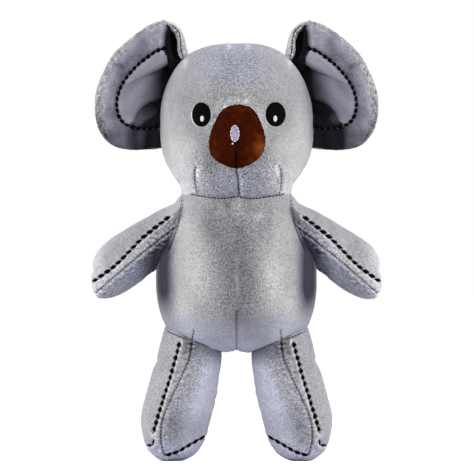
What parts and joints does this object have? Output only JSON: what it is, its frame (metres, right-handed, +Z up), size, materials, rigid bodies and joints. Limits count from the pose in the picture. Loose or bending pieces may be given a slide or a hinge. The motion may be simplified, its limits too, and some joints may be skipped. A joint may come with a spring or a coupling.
{
  "type": "plush koala",
  "caption": "Standing stuffed koala toy with big padded ears, a brown nose, stub arms and round legs, sewn from short-pile fabric.",
  "frame": {"origin": "on the floor under the middle of the standing koala's box", "axes": "+Z up; the koala faces -Y; +X is its own left"},
  "size_m": [0.1868, 0.1036, 0.2819],
  "materials": {
    "plush": "short-pile grey plush",
    "ear_lining": "smooth lavender-grey velour",
    "nose_velvet": "dark brown velour",
    "black_thread": "satin stitch, black",
    "white_thread": "satin stitch, white",
    "lilac_thread": "satin stitch, pale lilac",
    "fibre": "loose polyester fibre"
  },
  "bodies": {
    "torso": {"body_front_panel_left": "plush", "body_front_panel_right": "plush", "body_back_panel_left": "plush", "body_back_panel_right": "plush", "body_stuffing": "fibre"},
    "head": {"head_face_panel": "plush", "head_back_panel_left": "plush", "head_back_panel_right": "plush", "head_stuffing": "fibre", "nose_panel": "nose_velvet", "nose_stuffing": "fibre", "nose_highlight": "lilac_thread", "eye_left": "black_thread", "eye_highlight_left": "white_thread", "eye_right": "black_thread", "eye_highlight_right": "white_thread"},
    "ear_left": {"ear_front_panel_left": "ear_lining", "ear_back_panel_left": "plush", "ear_padding_left": "fibre"},
    "arm_left": {"arm_upper_panel_left": "plush", "arm_lower_panel_left": "plush", "arm_stuffing_left": "fibre"},
    "leg_left": {"leg_outer_panel_left": "plush", "leg_inner_panel_left": "plush", "leg_sole_panel_left": "plush", "leg_stuffing_left": "fibre"},
    "ear_right": {"ear_front_panel_right": "ear_lining", "ear_back_panel_right": "plush", "ear_padding_right": "fibre"},
    "arm_right": {"arm_upper_panel_right": "plush", "arm_lower_panel_right": "plush", "arm_stuffing_right": "fibre"},
    "leg_right": {"leg_outer_panel_right": "plush", "leg_inner_panel_right": "plush", "leg_sole_panel_right": "plush", "leg_stuffing_right": "fibre"}
  },
  "joints": [
    {"name": "neck_turn", "type": "hinge", "parent": "torso", "child": "head", "pos_m": [0, 0.00834, 0.16945], "axis": [0, 0, 1], "range_deg": [-25, 25], "stiffness_Nm_per_rad": 0.1},
    {"name": "ear_left_flap", "type": "hinge", "parent": "head", "child": "ear_left", "pos_m": [0.04898, 0.02034, 0.21153], "axis": [0.3501, 0.1152, -0.9296], "range_deg": [-30, 30], "stiffness_Nm_per_rad": 0.02},
    {"name": "ear_right_flap", "type": "hinge", "parent": "head", "child": "ear_right", "pos_m": [-0.04898, 0.02034, 0.21153], "axis": [0.3501, -0.1152, 0.9296], "range_deg": [-30, 30], "stiffness_Nm_per_rad": 0.02},
    {"name": "arm_left_swing", "type": "hinge", "parent": "torso", "child": "arm_left", "pos_m": [0.04181, 0.00834, 0.1478], "axis": [-0.5592, 0, -0.829], "range_deg": [-30, 60], "stiffness_Nm_per_rad": 0.1},
    {"name": "arm_right_swing", "type": "hinge", "parent": "torso", "child": "arm_right", "pos_m": [-0.04181, 0.00834, 0.1478], "axis": [-0.5592, 0, 0.829], "range_deg": [-30, 60], "stiffness_Nm_per_rad": 0.1},
    {"name": "leg_left_swing", "type": "hinge", "parent": "torso", "child": "leg_left", "pos_m": [0.028, 0.00834, 0.076], "axis": [-1, 0, 0], "range_deg": [-15, 45], "stiffness_Nm_per_rad": 0.4},
    {"name": "leg_right_swing", "type": "hinge", "parent": "torso", "child": "leg_right", "pos_m": [-0.028, 0.00834, 0.076], "axis": [-1, 0, 0], "range_deg": [-15, 45], "stiffness_Nm_per_rad": 0.4}
  ]
}
